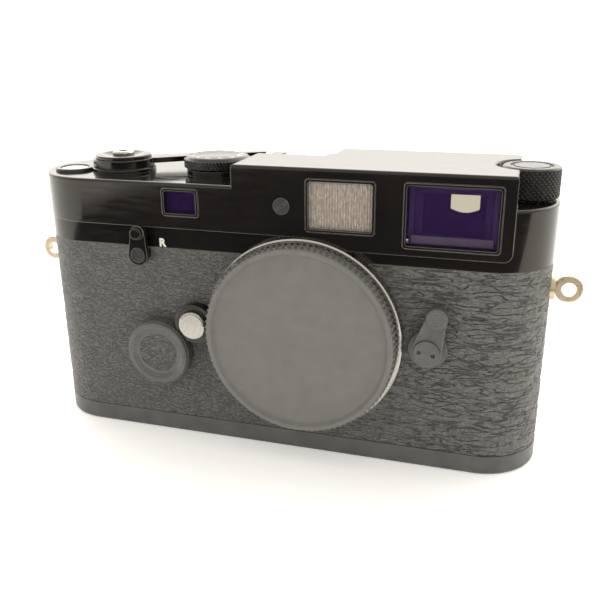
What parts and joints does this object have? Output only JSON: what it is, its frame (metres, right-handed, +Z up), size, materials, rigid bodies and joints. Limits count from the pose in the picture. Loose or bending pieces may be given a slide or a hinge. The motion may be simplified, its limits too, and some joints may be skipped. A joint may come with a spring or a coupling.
{
  "type": "rangefinder film camera",
  "caption": "Metal film camera with a coupled rangefinder, bayonet lens mount closed by a cap, leather covering and a folding advance lever.",
  "frame": {"origin": "underside of the base plate, at the middle of the body's length and depth", "axes": "+X along the body, to the right of a person facing the lens mount; -Y out of the lens mount; +Z up"},
  "size_m": [0.1534, 0.0409, 0.077],
  "materials": {
    "black_paint": "gloss black lacquer over brass",
    "satin_black": "satin black",
    "black_knurl": "black over knurled brass",
    "leather": "grained black leather",
    "cap_plastic": "fine matt black",
    "chrome": "polished",
    "champagne_nickel": "warm polished nickel",
    "steel": "brushed",
    "alloy": "satin",
    "coated_glass": "violet anti-reflection coating",
    "ribbed_glass": "diffusing, with upright ribs",
    "clear_glass": "clear dome",
    "cloth": "rubberised cloth"
  },
  "bodies": {
    "root": {"body_shell": "satin_black", "chassis": "satin_black", "film_gate": "steel", "leather_wrap": "leather", "top_cover": "black_paint", "mount_ring": "chrome", "small_screws": "steel", "window_bezels": "black_paint", "finder_windows": "coated_glass", "frameline_window": "ribbed_glass", "viewfinder_block": "coated_glass", "eyepiece_ring": "satin_black", "cover_screw": "satin_black", "accessory_shoe": "black_paint", "strap_lug_left": "champagne_nickel", "strap_lug_right": "champagne_nickel", "counter_ring": "satin_black", "counter_glass": "clear_glass", "advance_base": "black_paint", "speed_dial_base": "black_paint", "release_guard": "satin_black", "selector_base": "satin_black", "rewind_lever_screw": "satin_black", "battery_chamber": "cap_plastic", "door_hinge_pin": "steel", "hook_pin": "steel"},
    "advance": {"advance_lever": "black_paint", "advance_cap": "black_paint"},
    "button": {"shutter_button": "chrome"},
    "dial": {"speed_dial": "black_knurl"},
    "counter": {"counter_disc": "alloy"},
    "takeup": {"takeup_spool": "alloy"},
    "sprocket": {"sprocket_drum": "alloy"},
    "rewind_carrier": {"rewind_bridge": "steel"},
    "rewind_knob": {"rewind_knob": "black_knurl", "rewind_pinion": "steel"},
    "rewind_fork": {"rewind_fork": "steel"},
    "rewind_release": {"rewind_release_lever": "black_paint"},
    "lens_release": {"lens_release_button": "chrome"},
    "selector": {"selector_lever": "black_paint", "selector_screw": "black_paint"},
    "battery_stack": {"battery_cells": "steel"},
    "battery_lid": {"battery_cover": "satin_black", "battery_inlay": "leather"},
    "cap": {"body_cap": "cap_plastic"},
    "follower": {"roller_arm": "steel"},
    "mirror": {"rangefinder_mirror": "coated_glass"},
    "curtain_one": {"first_curtain": "cloth", "first_curtain_lath": "steel"},
    "curtain_two": {"second_curtain": "cloth", "second_curtain_lath": "steel"},
    "drum": {"winding_drum": "steel"},
    "door": {"rear_door": "satin_black", "door_leather": "leather"},
    "plate": {"pressure_plate": "satin_black"},
    "film_dial": {"film_speed_dial": "alloy"},
    "base": {"base_plate": "satin_black", "tripod_bush": "satin_black"},
    "key": {"base_key": "satin_black"},
    "bail": {"key_bail": "steel"}
  },
  "joints": [
    {"name": "advance_swing", "type": "hinge", "parent": "root", "child": "advance", "pos_m": [-0.0462, -0.0025, 0.074], "axis": [0, 0, 1], "range_deg": [0, 128], "stiffness_Nm_per_rad": 0.008},
    {"name": "takeup_turn", "type": "hinge", "parent": "root", "child": "takeup", "pos_m": [-0.0462, -0.0025, 0.03], "axis": [0, 0, 1], "range_deg": [0, 360]},
    {"name": "sprocket_turn", "type": "hinge", "parent": "root", "child": "sprocket", "pos_m": [-0.017, 0.0032, 0.03], "axis": [0, 0, 1], "range_deg": [0, 360]},
    {"name": "counter_turn", "type": "hinge", "parent": "root", "child": "counter", "pos_m": [-0.0598, -0.0059, 0.07], "axis": [0, 0, 1], "range_deg": [0, 9]},
    {"name": "button_press", "type": "slide", "parent": "root", "child": "button", "axis": [0, 0, -1], "range_m": [0, 0.0016], "stiffness_N_per_m": 500, "springref_m": -0.001},
    {"name": "dial_turn", "type": "hinge", "parent": "root", "child": "dial", "pos_m": [-0.0189, -0.001, 0.074], "axis": [0, 0, 1], "range_deg": [-150, 150]},
    {"name": "rewind_lift", "type": "slide", "parent": "root", "child": "rewind_carrier", "axis": [0, 0, 1], "range_m": [0, 0.005]},
    {"name": "rewind_turn", "type": "hinge", "parent": "rewind_carrier", "child": "rewind_knob", "pos_m": [0.0617, 0, 0.07], "axis": [0, 0, 1], "continuous": true},
    {"name": "fork_turn", "type": "hinge", "parent": "rewind_carrier", "child": "rewind_fork", "pos_m": [0.0537, 0, 0.05], "axis": [0, 0, 1], "continuous": true},
    {"name": "rewind_release_turn", "type": "hinge", "parent": "root", "child": "rewind_release", "pos_m": [-0.0352, -0.017, 0.0523], "axis": [0, 1, 0], "range_deg": [0, 65]},
    {"name": "lens_release_press", "type": "slide", "parent": "root", "child": "lens_release", "axis": [0, 1, 0], "range_m": [0, 0.002], "stiffness_N_per_m": 600, "springref_m": -0.001},
    {"name": "selector_swing", "type": "hinge", "parent": "root", "child": "selector", "pos_m": [0.0412, -0.017, 0.0335], "axis": [0, 1, 0], "range_deg": [-25, 25], "stiffness_Nm_per_rad": 0.004},
    {"name": "battery_travel", "type": "slide", "parent": "root", "child": "battery_stack", "axis": [0, -1, 0], "range_m": [0, 0.001]},
    {"name": "battery_turn", "type": "hinge", "parent": "battery_stack", "child": "battery_lid", "pos_m": [-0.0312, -0.017, 0.0252], "axis": [0, -1, 0], "range_deg": [0, 360]},
    {"name": "cap_turn", "type": "hinge", "parent": "root", "child": "cap", "pos_m": [0.0094, -0.02, 0.034], "axis": [0, -1, 0], "range_deg": [0, 60]},
    {"name": "follower_swing", "type": "hinge", "parent": "root", "child": "follower", "pos_m": [-0.006, -0.0096, 0.05], "axis": [0, 0, 1], "range_deg": [0, 8], "stiffness_Nm_per_rad": 0.02},
    {"name": "mirror_turn", "type": "hinge", "parent": "root", "child": "mirror", "pos_m": [-0.0248, -0.0105, 0.066], "axis": [0, 0, 1], "range_deg": [0, 2]},
    {"name": "curtain_one_run", "type": "slide", "parent": "root", "child": "curtain_one", "axis": [-1, 0, 0], "range_m": [0, 0.038], "deforming": ["first_curtain"]},
    {"name": "curtain_two_run", "type": "slide", "parent": "root", "child": "curtain_two", "axis": [-1, 0, 0], "range_m": [0, 0.038], "deforming": ["second_curtain"]},
    {"name": "drum_turn", "type": "hinge", "parent": "root", "child": "drum", "pos_m": [-0.017, -0.0067, 0.03], "axis": [0, 0, 1], "range_deg": [0, 605]},
    {"name": "door_swing", "type": "hinge", "parent": "root", "child": "door", "pos_m": [0, 0.0143, 0.0512], "axis": [1, 0, 0], "range_deg": [0, 90]},
    {"name": "plate_press", "type": "slide", "parent": "door", "child": "plate", "axis": [0, 1, 0], "range_m": [0, 0.0008], "stiffness_N_per_m": 800, "springref_m": -0.0005},
    {"name": "film_dial_turn", "type": "hinge", "parent": "door", "child": "film_dial", "pos_m": [0.0094, 0.0155, 0.03], "axis": [0, 1, 0], "range_deg": [-150, 150]},
    {"name": "base_swing", "type": "hinge", "parent": "root", "child": "base", "pos_m": [-0.069, 0, 0.0051], "axis": [0, 1, 0], "range_deg": [0, 25]},
    {"name": "key_turn", "type": "hinge", "parent": "base", "child": "key", "pos_m": [0.05, 0, 0.002], "axis": [0, 0, -1], "range_deg": [0, 180]},
    {"name": "bail_fold", "type": "hinge", "parent": "key", "child": "bail", "pos_m": [0.05, 0, 0.00078], "axis": [-1, 0, 0], "range_deg": [0, 90]}
  ],
  "couplings": [
    {"joint": "takeup_turn", "follows": "advance_swing", "ratio": 2.8125},
    {"joint": "sprocket_turn", "follows": "advance_swing", "ratio": 2.8125},
    {"joint": "counter_turn", "follows": "advance_swing", "ratio": 0.070312},
    {"joint": "fork_turn", "follows": "rewind_turn", "ratio": -1},
    {"joint": "battery_turn", "follows": "battery_travel", "rad_per_m": 6283.2},
    {"joint": "mirror_turn", "follows": "follower_swing", "ratio": 0.25},
    {"joint": "drum_turn", "follows": "curtain_one_run", "rad_per_m": 277.78}
  ]
}
